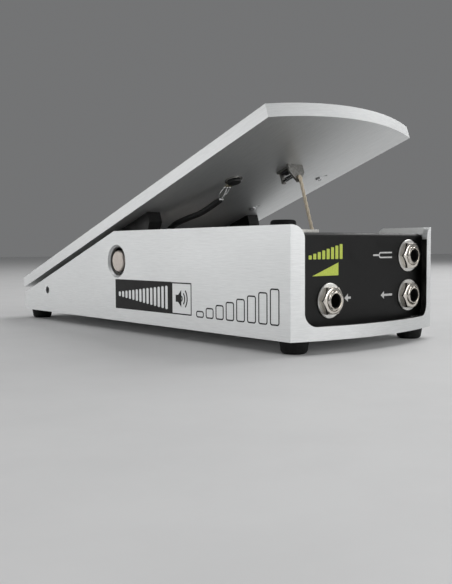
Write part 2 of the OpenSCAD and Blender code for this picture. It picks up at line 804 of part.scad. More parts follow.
// Tension spring between the plate and the ear, stretched as it is at rest, and its hook in the ear.
spring_r = 0.95;
spring_wire_r = 0.3;
spring_turns = 6;
spring_front = -100.8;
spring_pitch = 1.15;
spring_route = [for (i = [0:12 * spring_turns]) [
    cord_x + spring_r * cos(30 * i),
    spring_front + spring_pitch * i / 12,
    spring_h + spring_r * sin(30 * i)
]];

module cord_spring() {
    spring_rear = spring_front + spring_pitch * spring_turns;
    hook_end = cord_ear_y + 0.6;
    color([0.30, 0.30, 0.31]) on_treadle() {
        tube(spring_route, spring_wire_r, 6, [0, 1, 0]);
        translate([cord_x, spring_rear, spring_h]) rod_x(spring_wire_r, -spring_wire_r, spring_r);
        translate([cord_x, 0, spring_h]) {
            rod_y(spring_wire_r, spring_rear, hook_end);
            rod_y(1.2, cord_ear_y + 0.03, hook_end);
        }
    }
}

// Post under the heel that grips the other end of the cord.
module heel_cord_post() {
    color([0.70, 0.69, 0.66]) on_treadle() translate([cord_x - cord_pitch, heel_post_y, 0]) {
        rod_z(4, heel_post_h, treadle_lift);
        rod_z(2, treadle_lift - eps, treadle_lift + 3.8);
    }
}

module underside_screws() {
    color([0.75, 0.75, 0.76]) on_treadle() for (p = underside_places)
        translate([p.x, p.y, 0]) {
            rod_z(2.2, treadle_lift - 1.1, treadle_lift);
            rod_z(1.2, treadle_lift - 0.5, treadle_lift + 3.8);
        }
}

// ---------- swell switch ----------

module switch_ring() {
    color([0.85, 0.85, 0.85]) on_treadle() translate([switch_x, switch_y, 0]) difference() {
        union() {
            rod_z(5.2, treadle_lift - switch_ring_t, treadle_lift);
            rod_z(3.98, treadle_lift - switch_ring_t, treadle_top);
        }
        rod_z(2.7, treadle_lift - 2, treadle_top + eps);
    }
}

module switch_body() {
    color([0.10, 0.10, 0.10]) on_treadle() translate([switch_x, switch_y, 0]) {
        rod_z(3.8, treadle_lift - 2.4, treadle_lift - switch_ring_t);
        rod_z(2.65, treadle_lift - switch_ring_t - 0.1, treadle_lift);
    }
}

// Three solder lugs on the heel side of the switch.
module switch_terminals() {
    color([0.85, 0.82, 0.70]) on_treadle() for (dx = [-1.8, 0, 1.8])
        translate([switch_x + dx, switch_y, 0])
            block([-0.5, 3.2, treadle_lift - 2.1], [0.5, 6.9, treadle_lift - 1.6]);
}

module switch_button() {
    color([0.75, 0.10, 0.10]) on_treadle() translate([switch_x, switch_y, 0])
        rod_z(2.6, treadle_lift + 1.8, treadle_top + 0.8);
}

// The cable from the switch: under the treadle, down in front of the shaft and along the floor.
cable_d = 3.4;
cable_points = [
    [-19, 90.5, 70.6], [-20.5, 98, 66.6], [-22, 106, 63.2], [-23.5, 116, 60.6], [-25, 127, 57],
    [-26, 134, 51], [-26, 136, 42], [-25, 133, 31], [-23, 125, 19], [-21, 112, 9.5],
    [-19, 96, 6], [-17, 78, 5.6], [-15.5, 62, 8], [-14.5, 53, 13]
];

module switch_cable() {
    color([0.05, 0.05, 0.05]) placed() tube(curve(cable_points, 3), cable_d / 2, 8, [1, 0, 0]);
}

// ---------- nodes ----------

chassis();
jack_panel();
jack(input_at, -1);  // input_jack
jack(output_at, 1);  // output_jack
jack(tuner_at, 1);  // tuner_jack
jack_washers();
jack_nuts();
jack_insulators();
jack_springs();
floor_screws();
pot_bracket();
potentiometer();
pot_nut();
pot_terminals();
toe_stop();
toe_stop_screw();
heel_stops();
pivot_shaft();
shaft_bosses();
boss_set_screws();
cord_guide_rod();
rubber_feet();
foot_screws();
foot_nuts();
signal_wires();
pot_shaft();
cord_drum();
drum_set_screw();
drive_cord();
treadle();
grip_pad();
hinge_lug(-1);  // left_hinge_lug
hinge_lug(1);  // right_hinge_lug
lug_bushings();
lug_screws();
cord_bracket();
cord_bracket_screw();
cord_spring();
heel_cord_post();
underside_screws();
switch_ring();
switch_body();
switch_terminals();
switch_button();
switch_cable();
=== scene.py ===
import math

import bmesh
import bpy
from mathutils import Matrix, Vector
from mathutils.geometry import tessellate_polygon


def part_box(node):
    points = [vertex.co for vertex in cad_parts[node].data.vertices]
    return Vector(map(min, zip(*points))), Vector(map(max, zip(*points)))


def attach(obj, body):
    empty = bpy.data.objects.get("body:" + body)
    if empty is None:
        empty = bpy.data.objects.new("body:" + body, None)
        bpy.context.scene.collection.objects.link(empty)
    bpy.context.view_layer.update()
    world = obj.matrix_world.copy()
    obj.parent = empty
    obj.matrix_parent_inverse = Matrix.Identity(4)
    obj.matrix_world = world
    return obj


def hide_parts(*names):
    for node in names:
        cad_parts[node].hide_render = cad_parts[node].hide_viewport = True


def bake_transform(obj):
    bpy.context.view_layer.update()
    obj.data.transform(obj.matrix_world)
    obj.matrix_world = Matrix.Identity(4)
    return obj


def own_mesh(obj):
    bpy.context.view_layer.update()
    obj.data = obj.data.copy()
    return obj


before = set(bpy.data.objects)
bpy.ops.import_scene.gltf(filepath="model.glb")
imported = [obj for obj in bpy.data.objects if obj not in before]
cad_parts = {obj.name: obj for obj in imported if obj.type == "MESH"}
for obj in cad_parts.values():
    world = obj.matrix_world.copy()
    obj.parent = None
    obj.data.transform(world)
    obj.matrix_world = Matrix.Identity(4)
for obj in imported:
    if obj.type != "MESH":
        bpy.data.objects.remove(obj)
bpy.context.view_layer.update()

# ---------- sizes and places, in mm ----------
# Chassis frame: y runs from the front corners to the heel, z up from the chassis bottom.
# Treadle frame: origin on the pivot, y to the heel, h up from the pivot, square to the plate.

MM = 0.001
FOOT_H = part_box("chassis")[0].z / MM
CHASSIS_L = 270.7
MID_Y = CHASSIS_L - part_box("chassis")[1].y / MM
WALL_X = -54.0
TILT = math.radians(18.75)
PIVOT = Vector((0, 146.1, 35.6))

# The treadle's plate, the bow of its curved toe, and the pad on it.
FRONT_SAG = 9.6
TREADLE_UNDER = 21.5
TREADLE_TOP = 28.3
TREADLE_W = 107.6
TOE_REACH = 146.6
HEEL_REACH = 125.4
PAD_INSET = 5.0
PAD_T = 1.2

# The front window, the panel behind it and the jacks.
PANEL_Y = 3.0
WINDOW_X, WINDOW_Y = 47.0, 2.6
RAIL_H = 6.5
WINDOW_SHOULDER_Z = 47.0
WASHER_T = 0.8
NUT_T = 2.6
NUT_AF = 13.0
# Jack: its x and z, and the side that its frame's arm stands on.
JACK_PLACES = {
    "input_jack": (-24.5, 17.6, -1),
    "output_jack": (37.5, 17.6, 1),
    "tuner_jack": (37.5, 38.5, 1),
}
JACK_MOUTH_Y = -1.4
JACK_BACK_Y = 9.0
JACK_THREAD_PITCH, JACK_THREAD_DEPTH = 0.8, 0.3
JACK_R = 4.75
BORE_R = 3.25
BORE_MOUTH_R = 3.65
# Faces nearer than this to a bore's axis get painted shade: a near-black look in place of the shade down the
# bore and its mouth.
BORE_SHADE_R = BORE_MOUTH_R - 0.05
JACK_ARM_X, JACK_ARM_T = 5.0, 0.96
JACK_ARM_FRONT, JACK_ARM_BACK, JACK_ARM_HALF_W = 5.2, 21.9, 4.4

# The drive cord's route. A wrap radius runs from an axis to the cord's middle.
DRUM_Y, DRUM_Z, DRUM_WRAP_R = 43.0, 30.0, 7.47
GUIDE_Y, GUIDE_Z, GUIDE_WRAP_R = 235.65, 14.87, 3.47
CORD_X, CORD_PITCH, CORD_R = 5.5, 2.4, 1.0
CORD_HOLE_H = 14.0
CORD_PLATE_Y = -103.4
CORD_END_GAP = 0.6
CORD_PLIES, CORD_LAY = 3, 11.0
# The heel post in the treadle's frame: the cord's heel end stops a gap under its height at rest.
HEEL_POST_Y, HEEL_POST_H = 92.9, 14.6

# The bracket under the toe, its spring, the toe stop and the switch.
CORD_SCREW_Y = -95.5
CORD_EAR_Y = -91.2
CORD_PLATE_T = 1.2
SPRING_H = 16.2
SPRING_FRONT_Y, SPRING_PITCH, SPRING_TURNS = -100.8, 1.15, 6
SPRING_R, SPRING_WIRE_R = 0.95, 0.3
TOE_STOP_X, TOE_STOP_Y = -28.5, 30.2
SWITCH_X, SWITCH_Y = -19.2, -78.5
SWITCH_RING_T = 0.9
CABLE_R = 1.7
WIRE_R = 0.8
CONDUCTOR_R = 0.36

# Where the screws stand: the lists give x and y.
FLOOR_SCREWS = [(-26, 9.5), (0, 9.5), (26, 9.5), (-15, 34), (-15, 42), (-32.5, 34), (-30, 250), (30, 250)]
FOOT_SCREWS = [(x, y) for x in (-44.5, 44.5) for y in (7, 263)]
FOOT_SCREW_Z = -2.8
UNDERSIDE_SCREWS = [(29.6, -38.2), (40.7, -88.2)]
LUG_SCREWS = [(x, y) for x in (-39.3, 39.3) for y in (-19, 19)]
TOE_STOP_TOP, TOE_STOP_DECK = 53.8, 50.6

CHASSIS = Matrix.Scale(MM, 4) @ Matrix.Translation((0, -MID_Y, FOOT_H))
TREADLE = CHASSIS @ Matrix.Translation(PIVOT) @ Matrix.Rotation(-TILT, 4, "X")


def at_rest(x, y, h):
    """A point of the treadle's frame as a point of the chassis frame, at rest."""
    return Vector((
        x,
        PIVOT.y + y * math.cos(TILT) + h * math.sin(TILT),
        PIVOT.z - y * math.sin(TILT) + h * math.cos(TILT),
    ))


# ---------- shapes: a list of points and a list of faces ----------

def circle(r, z, sides):
    turns = [2 * math.pi * i / sides for i in range(sides)]
    return [Vector((r * math.cos(a), r * math.sin(a), z)) for a in turns]


def loft(loops, closed=False):
    """Joins loops of points, all of one length, with quads; caps the ends unless it closes on itself."""
    n = len(loops[0])
    points = [Vector(p) for loop in loops for p in loop]
    faces = []
    for a in range(len(loops) if closed else len(loops) - 1):
        b = (a + 1) % len(loops)
        for i in range(n):
            j = (i + 1) % n
            faces.append((a * n + i, a * n + j, b * n + j, b * n + i))
    if not closed:
        faces.append(tuple(reversed(range(n))))
        faces.append(tuple(range((len(loops) - 1) * n, len(loops) * n)))
    return points, faces


def lathe(profile, sides, closed=False):
    """A solid turned about z, from (radius, z) points."""
    return loft([circle(r, z, sides) for r, z in profile], closed)


def placed(shape, matrix):
    return [matrix @ p for p in shape[0]], shape[1]


def moved(shape, x, y, z):
    return placed(shape, Matrix.Translation((x, y, z)))


def joined(shapes):
    points, faces = [], []
    for more_points, more_faces in shapes:
        base = len(points)
        points += more_points
        faces += [tuple(i + base for i in face) for face in more_faces]
    return points, faces


def prism(outline, z0, z1):
    """An outline in x and y, extruded along z."""
    return loft([[Vector((x, y, z)) for x, y in outline] for z in (z0, z1)])


def plate(loops, z0, z1):
    """A flat solid with holes: the first loop is its outline and the others are its holes."""
    flat = [Vector((x, y, 0)) for loop in loops for x, y in loop]
    triangles = tessellate_polygon([[Vector((x, y, 0)) for x, y in loop] for loop in loops])
    n = len(flat)
    points = [Vector((p.x, p.y, z)) for z in (z0, z1) for p in flat]
    faces = [tuple(reversed(t)) for t in triangles] + [tuple(i + n for i in t) for t in triangles]
    start = 0
    for loop in loops:
        for i in range(len(loop)):
            a, b = start + i, start + (i + 1) % len(loop)
            faces.append((a, b, b + n, a + n))
        start += len(loop)
    return points, faces


def rounded(x0, y0, x1, y1, r, steps=6):
    """The outline of a rectangle with round corners."""
    corners = [(x1 - r, y0 + r, -90), (x1 - r, y1 - r, 0), (x0 + r, y1 - r, 90), (x0 + r, y0 + r, 180)]
    loop = []
    for x, y, start in corners:
        for i in range(steps + 1):
            a = math.radians(start + 90 * i / steps)
            loop.append((x + r * math.cos(a), y + r * math.sin(a)))
    return loop


def smooth_path(points, steps):
    """A Catmull-Rom curve through points, with a number of steps between two of them."""
    p = [Vector(q) for q in points]
    path = []
    for i in range(len(p) - 1):
        a, b, c, d = p[max(i - 1, 0)], p[i], p[i + 1], p[min(i + 2, len(p) - 1)]
        for s in range(steps):
            t = s / steps
            path.append(0.5 * (
                2 * b + (c - a) * t + (2 * a - 5 * b + 4 * c - d) * t * t + (3 * b - a - 3 * c + d) * t ** 3
            ))
    return path + [p[-1]]


def frames_along(path):
    """Two directions across a path at each point, carried along it without twist."""
    found = []
    across = None
    for i, point in enumerate(path):
        along = (path[min(i + 1, len(path) - 1)] - path[max(i - 1, 0)]).normalized()
        if across is None:
            across = along.orthogonal()
        across = (across - along * across.dot(along)).normalized()
        found.append((across.copy(), along.cross(across)))
    return found


def sweep(path, r, sides):
    """A tube along a path."""
    turns = [2 * math.pi * k / sides for k in range(sides)]
    loops = []
    for point, (u, v) in zip(path, frames_along(path)):
        loops.append([point + r * (math.cos(a) * u + math.sin(a) * v) for a in turns])
    return loft(loops)


def threaded(r, depth, pitch, z0, z1, sides=48):
    """Loops of a rod with a helical thread, from z0 to z1."""
    steps = max(2, math.ceil((z1 - z0) / pitch * 6))
    loops = []
    for k in range(steps + 1):
        z = z0 + (z1 - z0) * k / steps
        loop = []
        for i in range(sides):
            ridge = abs(2 * ((z / pitch - i / sides) % 1) - 1)
            turn = Matrix.Rotation(2 * math.pi * i / sides, 3, "Z")
            loop.append(turn @ Vector((r - depth * (1 - ridge), 0, z)))
        loops.append(loop)
    return loops


def hex_nut(af, thickness, bore_r, chamfer=0.66, sides=144):
    """A nut along z with chamfered corners on its upper face."""
    def outer(z):
        """The nut's outline at a height: a hexagon cut by the chamfer's cone."""
        cap = af / 2 * 0.97 + max(0, thickness - z) / math.tan(math.radians(30))
        loop = []
        for i in range(sides):
            a = 2 * math.pi * i / sides
            reach = min(af / 2 / math.cos(a % (math.pi / 3) - math.pi / 6), cap)
            loop.append(Vector((reach * math.cos(a), reach * math.sin(a), z)))
        return loop

    heights = [0] + [thickness - chamfer * (1 - s / 12) for s in range(13)]
    bore = [(bore_r + 0.35, thickness), (bore_r, thickness - 0.35), (bore_r, 0)]
    return loft([outer(z) for z in heights] + [circle(r, z, sides) for r, z in bore], closed=True)


# ---------- objects ----------

SHARP = math.radians(35)
BEVEL_ANGLE = math.radians(30)


def mesh_object(name, shape):
    mesh = bpy.data.meshes.new(name)
    mesh.from_pydata([tuple(p) for p in shape[0]], [], shape[1])
    bm = bmesh.new()
    bm.from_mesh(mesh)
    bmesh.ops.recalc_face_normals(bm, faces=bm.faces)
    bm.to_mesh(mesh)
    bm.free()
    obj = bpy.data.objects.new(name, mesh)
    bpy.context.scene.collection.objects.link(obj)
    return obj


def apply_modifiers(obj):
    graph = bpy.context.evaluated_depsgraph_get()
    mesh = bpy.data.meshes.new_from_object(obj.evaluated_get(graph))
    obj.modifiers.clear()
    obj.data = mesh


def cut(shape, cutter):
    """The shape with another one taken out of it."""
    body, tool = mesh_object("cut_body", shape), mesh_object("cut_tool", cutter)
    change = body.modifiers.new("cut", "BOOLEAN")
    change.operation = "DIFFERENCE"
    change.solver = "EXACT"
    change.object = tool
    apply_modifiers(body)
    result = [v.co.copy() for v in body.data.vertices], [tuple(f.vertices) for f in body.data.polygons]
    for obj in (body, tool):
        bpy.data.objects.remove(obj)
    return result


def finish_piece(obj, slot, body=None, nodes=(), look=None):
    obj.data.shade_smooth()
    obj.data.set_sharp_from_angle(angle=SHARP)
    obj.data.materials.clear()
    obj.data.materials.append(material(look or slot))
    if body:
        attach(obj, body)
    if nodes:
        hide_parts(*nodes)
    return obj


def add_piece(name, shape, matrix, slot, body=None, nodes=(), look=None):
    return finish_piece(mesh_object(name, placed(shape, matrix)), slot, body, nodes, look)


def paint(obj, look, chosen):
    """Gives the faces whose centre, in the chassis frame, and normal pass a test a second look."""
    obj.data.materials.append(material(look))
    index = len(obj.data.materials) - 1
    for face in obj.data.polygons:
        if chosen(face.center / MM + Vector((0, MID_Y, -FOOT_H)), face.normal):
            face.material_index = index


def softened(node, slot, body, width, segments=2, look=None):
    """A copy of a CAD node with welded faces and edges rounded by a width in mm, which stands for it."""
    bm = bmesh.new()
    bm.from_mesh(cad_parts[node].data)
    bmesh.ops.remove_doubles(bm, verts=bm.verts, dist=2e-6)
    bmesh.ops.dissolve_limit(bm, angle_limit=math.radians(0.3), verts=bm.verts, edges=bm.edges)
    mesh = bpy.data.meshes.new(node + "_shape")
    bm.to_mesh(mesh)
    bm.free()
    obj = bpy.data.objects.new(node + "_shape", mesh)
    bpy.context.scene.collection.objects.link(obj)
    bevel = obj.modifiers.new("edge", "BEVEL")
    bevel.width = width * MM
    bevel.segments = segments
    bevel.limit_method = "ANGLE"
    bevel.angle_limit = BEVEL_ANGLE
    bevel.miter_outer = "MITER_ARC"
    bevel.use_clamp_overlap = True
    apply_modifiers(obj)
    finish_piece(obj, slot, body, [node], look)
    weighted = obj.modifiers.new("normals", "WEIGHTED_NORMAL")
    weighted.keep_sharp = True
    apply_modifiers(obj)
    return obj


# ---------- materials ----------

def new_look(name, metallic, **constants):
    """A new material with its shader's constant values set, and the shader."""
    mat = bpy.data.materials.new(name)
    mat.use_nodes = True
    shader = mat.node_tree.nodes["Principled BSDF"]
    shader.inputs["Metallic"].default_value = metallic
    for socket, value in constants.items():
        shader.inputs[socket.replace("_", " ")].default_value = value
    return mat, shader


def add_node(mat, kind, values=None, **settings):
    node = mat.node_tree.nodes.new("ShaderNode" + kind)
    for key, value in settings.items():
        setattr(node, key, value)
    for socket, value in (values or {}).items():
        node.inputs[socket].default_value = value
    return node


def link(mat, output, socket):
    mat.node_tree.links.new(output, socket)


def stretched_noise(mat, grain, stretch, turn=0.0, detail=4.0):
    """A noise over the object's own coordinates. Grain is its size in mm, and stretch divides each axis."""
    place = add_node(mat, "TexCoord")
    turned = add_node(mat, "Mapping", {"Rotation": (turn, 0, 0)})
    scaled = add_node(mat, "Mapping", {"Scale": tuple(1 / s for s in stretch)})
    noise = add_node(mat, "TexNoise", {"Scale": 1 / (grain * MM), "Detail": detail, "Roughness": 0.6})
    link(mat, place.outputs["Object"], turned.inputs["Vector"])
    link(mat, turned.outputs["Vector"], scaled.inputs["Vector"])
    link(mat, scaled.outputs["Vector"], noise.inputs["Vector"])
    return noise.outputs["Fac"]


def colour_from(mat, value, low, high, start=0.35, end=0.65):
    """A colour between two, as a noise goes from start to end."""
    ramp = add_node(mat, "ValToRGB")
    ramp.color_ramp.elements[0].position = start
    ramp.color_ramp.elements[1].position = end
    ramp.color_ramp.elements[0].color = (*low, 1)
    ramp.color_ramp.elements[1].color = (*high, 1)
    link(mat, value, ramp.inputs["Fac"])
    return ramp.outputs["Color"]


def number_from(mat, value, low, high):
    """A number between two, as a noise goes over its usual range."""
    scale = add_node(mat, "MapRange", {"From Min": 0.3, "From Max": 0.7, "To Min": low, "To Max": high})
    link(mat, value, scale.inputs["Value"])
    return scale.outputs["Result"]


def add_bump(mat, shader, value, depth):
    """Bump of a depth in mm."""
    bump = add_node(mat, "Bump", {"Distance": depth * MM})
    link(mat, value, bump.inputs["Height"])
    link(mat, bump.outputs["Normal"], shader.inputs["Normal"])


def grainy(name, low, high, rough, grain, depth, stretch=(1, 1, 1), metallic=0.0, **constants):
    """A finish whose colour, roughness and relief follow one noise."""
    mat, shader = new_look(name, metallic, **constants)
    noise = stretched_noise(mat, grain, stretch)
    broad = stretched_noise(mat, grain * 14, stretch, detail=2.0)
    link(mat, colour_from(mat, noise, low, high), shader.inputs["Base Color"])
    link(mat, number_from(mat, broad, *rough), shader.inputs["Roughness"])
    add_bump(mat, shader, noise, depth)
    return mat


def brushed(name, turn):
    """Brushed aluminium: long fine streaks along y turned about x, on faces that look any way."""
    mat, shader = new_look(name, metallic=1.0)
    place = add_node(mat, "TexCoord")
    split = add_node(mat, "SeparateXYZ")
    size = add_node(mat, "Math", operation="ABSOLUTE")
    faces_up = add_node(mat, "Math", {1: 0.7}, operation="GREATER_THAN")
    link(mat, place.outputs["Normal"], split.inputs["Vector"])
    link(mat, split.outputs["Z"], size.inputs[0])
    link(mat, size.outputs[0], faces_up.inputs[0])

    def streaks(grain, length):
        """One layer of streaks, fine across the brushing and long along it."""
        layer = add_node(mat, "Mix", data_type="FLOAT")
        link(mat, faces_up.outputs[0], layer.inputs[0])
        link(mat, stretched_noise(mat, grain, (length / 2, length, 1), turn, 3.0), layer.inputs[2])
        link(mat, stretched_noise(mat, grain, (1, length, length / 2), turn, 3.0), layer.inputs[3])
        return layer.outputs[0]

    fine, coarse = streaks(0.20, 34), streaks(0.7, 22)
    both = add_node(mat, "Mix", {0: 0.35}, data_type="FLOAT")
    link(mat, fine, both.inputs[2])
    link(mat, coarse, both.inputs[3])
    streak = both.outputs[0]
    cloud = stretched_noise(mat, 24, (1, 2.5, 1), turn, 2.0)
    colour = colour_from(mat, streak, (0.665, 0.675, 0.675), (0.765, 0.775, 0.775), 0.36, 0.64)
    link(mat, colour, shader.inputs["Base Color"])
    rough = add_node(mat, "Math", operation="ADD")
    link(mat, number_from(mat, streak, 0.45, 0.52), rough.inputs[0])
    link(mat, number_from(mat, cloud, 0.0, 0.04), rough.inputs[1])
    link(mat, rough.outputs[0], shader.inputs["Roughness"])
    add_bump(mat, shader, streak, 0.010)
    return mat


# Look: darkest and lightest colour, range of roughness, grain and relief in mm.
METALS = {
    "nickel": ((0.70, 0.66, 0.60), (0.80, 0.76, 0.70), (0.13, 0.24), 1.5, 0.003),
    # shaded_nickel is a darker copy of nickel: painted shade for the switch ring under the treadle.
    "shaded_nickel": ((0.26, 0.25, 0.24), (0.40, 0.39, 0.37), (0.12, 0.26), 0.8, 0.003),
    "washer": ((0.80, 0.79, 0.76), (0.90, 0.89, 0.86), (0.30, 0.42), 1.2, 0.003),
    "spring_metal": ((0.70, 0.62, 0.44), (0.80, 0.72, 0.54), (0.2, 0.35), 0.6, 0.003),
    "zinc_screw": ((0.56, 0.57, 0.58), (0.72, 0.72, 0.72), (0.20, 0.38), 0.6, 0.003),
    "bracket_steel": ((0.58, 0.57, 0.54), (0.74, 0.73, 0.70), (0.26, 0.5), 1.1, 0.01),
    # bracket_shaded_steel is a darker copy of bracket_steel: painted shade for the cord bracket under the
    # toe.
    "bracket_shaded_steel": ((0.24, 0.235, 0.22), (0.38, 0.37, 0.35), (0.24, 0.42), 0.9, 0.01),
    "pot_can": ((0.42, 0.42, 0.42), (0.56, 0.56, 0.55), (0.28, 0.45), 1.0, 0.003),
    "shaft_steel": ((0.40, 0.36, 0.33), (0.56, 0.51, 0.47), (0.34, 0.46), 0.5, 0.006),
    "dark_steel": ((0.045, 0.045, 0.048), (0.09, 0.09, 0.095), (0.3, 0.45), 0.6, 0.003),
    "bronze": ((0.46, 0.30, 0.14), (0.64, 0.44, 0.24), (0.32, 0.5), 0.4, 0.01),
    "solder": ((0.62, 0.62, 0.62), (0.82, 0.82, 0.81), (0.12, 0.3), 0.5, 0.02),
}
NONMETALS = {
    "black_panel": ((0.001, 0.001, 0.001), (0.003, 0.003, 0.0028), (0.30, 0.40), 0.35, 0.012),
    "print_black": ((0.004, 0.004, 0.004), (0.009, 0.009, 0.009), (0.36, 0.46), 0.6, 0.004),
    "print_green": ((0.52, 0.62, 0.07), (0.62, 0.72, 0.11), (0.45, 0.55), 0.5, 0.004),
    "print_white": ((0.55, 0.55, 0.54), (0.68, 0.68, 0.67), (0.45, 0.55), 0.5, 0.004),
    # bore_painted_shade is painted shade for the inside of the jacks' bores.
    "bore_painted_shade": ((0.004, 0.004, 0.004), (0.010, 0.009, 0.008), (0.5, 0.6), 0.5, 0.01),
    "phenolic": ((0.20, 0.10, 0.045), (0.30, 0.16, 0.08), (0.4, 0.6), 0.4, 0.02),
    "black_rubber": ((0.005, 0.005, 0.005), (0.012, 0.012, 0.012), (0.6, 0.85), 0.25, 0.03),
    "wire_yellow": ((0.52, 0.43, 0.07), (0.64, 0.54, 0.12), (0.35, 0.5), 0.7, 0.01),
    "wire_red": ((0.42, 0.03, 0.02), (0.55, 0.05, 0.03), (0.35, 0.5), 0.7, 0.01),
    "wire_white": ((0.60, 0.59, 0.55), (0.72, 0.71, 0.67), (0.35, 0.5), 0.7, 0.01),
    "wire_blue": ((0.03, 0.09, 0.36), (0.05, 0.13, 0.48), (0.35, 0.5), 0.7, 0.01),
    "drum_plastic": ((0.66, 0.66, 0.60), (0.76, 0.76, 0.71), (0.32, 0.5), 0.8, 0.01),
    "cord_fibre": ((0.60, 0.50, 0.36), (0.84, 0.75, 0.60), (0.7, 0.9), 0.16, 0.03),
    "grip": ((0.012, 0.012, 0.012), (0.040, 0.040, 0.041), (0.7, 0.95), 0.3, 0.06),
    "lug_black": ((0.004, 0.004, 0.004), (0.010, 0.010, 0.010), (0.38, 0.6), 0.7, 0.03),
    "switch_plastic": ((0.008, 0.008, 0.008), (0.016, 0.016, 0.016), (0.3, 0.42), 0.6, 0.01),
    "button_red": ((0.36, 0.012, 0.010), (0.46, 0.022, 0.016), (0.25, 0.35), 0.9, 0.005),
    "cable_black": ((0.010, 0.010, 0.010), (0.020, 0.020, 0.020), (0.42, 0.6), 0.4, 0.02),
}
# What else some looks set: the stretch of their grain, or constants of the shader.
EXTRAS = {
    "black_panel": {"Specular_IOR_Level": 0.28},
    "print_black": {"Specular_IOR_Level": 0.2},
    "phenolic": {"stretch": (6, 6, 1)},
    "black_rubber": {"Specular_IOR_Level": 0.2},
    "cord_fibre": {"Sheen_Weight": 0.35, "Sheen_Roughness": 0.5},
    "lug_black": {"Specular_IOR_Level": 0.25},
}
# Brushed looks: how far their streaks lean from level.
BRUSHED = {"brushed_aluminium": 0.0, "brushed_treadle": TILT}

made = {}


def material(name):
    """The look of that name, made once."""
    if name not in made:
        title = "look_" + name
        if name in BRUSHED:
            made[name] = brushed(title, BRUSHED[name])
        elif name in METALS:
            made[name] = grainy(title, *METALS[name], metallic=1.0)
        else:
            made[name] = grainy(title, *NONMETALS[name], **EXTRAS.get(name, {}))
    return made[name]


# ---------- pieces that keep the CAD shape, with rounded edges ----------

# Node: slot, width of the rounded edge in mm.
BASE_SHELLS = {
    "chassis": ("brushed_aluminium", 0.4),
    "jack_panel": ("black_panel", 0.3),
    "jack_insulators": ("phenolic", 0.15),
    "jack_springs": ("spring_metal", 0.1),
    "pot_bracket": ("bracket_steel", 0.25),
    "potentiometer": ("pot_can", 0.5),
    "pot_nut": ("nickel", 0.25),
    "pot_terminals": ("spring_metal", 0.12),
    "toe_stop": ("black_rubber", 0.5),
    "heel_stops": ("black_rubber", 0.6),
    "pivot_shaft": ("shaft_steel", 0.15),
    "shaft_bosses": ("brushed_aluminium", 0.5),
    "boss_set_screws": ("dark_steel", 0.15),
    "cord_guide_rod": ("dark_steel", 0.3),
    "rubber_feet": ("black_rubber", 0.4),
    "foot_nuts": ("zinc_screw", 0.3),
}
DRUM_SHELLS = {
    "pot_shaft": ("shaft_steel", 0.3),
    "cord_drum": ("drum_plastic", 0.3),
    "drum_set_screw": ("dark_steel", 0.1),
}
TREADLE_SHELLS = {
    "treadle": ("brushed_aluminium", 0.45),
    "left_hinge_lug": ("lug_black", 0.6),
    "right_hinge_lug": ("lug_black", 0.6),
    "lug_bushings": ("bronze", 0.25),
    "cord_bracket": ("bracket_steel", 0.25),
    "heel_cord_post": ("bracket_steel", 0.4),
    "switch_body": ("switch_plastic", 0.3),
    "switch_terminals": ("spring_metal", 0.1),
}
# Nodes whose look isn't their slot's own.
# The cord bracket's darker copy of its steel is painted shade.
SHELL_LOOKS = {"treadle": "brushed_treadle", "cord_bracket": "bracket_shaded_steel"}


def shaded_window_edge(centre, normal):
    """Whether a face of the chassis is a cut edge of the front window; these faces get painted shade, the
    black panel's look in place of the shade inside the window.
    """
    beside = abs(centre.x) < WINDOW_X + 0.2 and centre.y < WINDOW_Y
    level = RAIL_H - 0.2 < centre.z < WINDOW_SHOULDER_Z
    return beside and level and abs(normal.y) < 0.3


def build_shells():
    for body, shells in (("base", BASE_SHELLS), ("drum", DRUM_SHELLS), ("treadle", TREADLE_SHELLS)):
        for node, (slot, width) in shells.items():
            shell = softened(node, slot, body, width, look=SHELL_LOOKS.get(node))
            if node == "chassis":
                # Painted shade: the window's cut edges take the black panel's look in place of the shade that
                # falls on them.
                paint(shell, "black_panel", shaded_window_edge)
    softened("switch_button", "button_red", "switch_button", 0.5, segments=3)


# ---------- jacks ----------

# Turns a shape built along +z so that it stands on the panel and looks out along -y.
OUTWARD = Matrix.Rotation(math.radians(90), 4, "X")


def jack_sleeve():
    """A threaded sleeve with a bore; z runs outwards, and z = 0 is at y = 0."""
    mouth = -JACK_MOUTH_Y
    thread = threaded(JACK_R, JACK_THREAD_DEPTH, JACK_THREAD_PITCH, -JACK_BACK_Y, mouth - 0.35)
    lip = [(JACK_R - 0.35, mouth - 0.2), (JACK_R - 0.55, mouth), (4.05, mouth), (3.95, mouth - 0.2),
           (3.8, mouth - 0.2), (BORE_MOUTH_R, mouth), (BORE_R, mouth - 0.5), (BORE_R, -JACK_BACK_Y)]
    return loft(thread + [circle(r, z, 48) for r, z in lip], closed=True)


def jack_shoulder():
    """The flange of a jack behind the panel, along the sleeve's z."""
    front = -(PANEL_Y + 1.6)
    r = 7.0
    return lathe([(BORE_R + 1.6, front), (r, front), (r, front - 1.7), (r - 0.3, front - 2.0),
                  (BORE_R + 1.6, front - 2.0)], 48, closed=True)


def jack_arm():
    """The folded side arm of a jack's frame, a plate across x, drawn with x up and y to the heel."""
    half_w, half_t = JACK_ARM_HALF_W, JACK_ARM_T / 2
    return prism(rounded(-half_w, JACK_ARM_FRONT, half_w, JACK_ARM_BACK, 1.6), -half_t, half_t)


def jack_washer():
    """A washer against the panel, with a bevelled front edge."""
    seat, bore, r = -PANEL_Y, JACK_R + 0.1, 8.5
    return lathe([(bore, seat), (r - 0.2, seat), (r, seat + 0.2), (r, seat + 0.5), (r - 0.3, seat + WASHER_T),
                  (bore, seat + WASHER_T)], 72, closed=True)


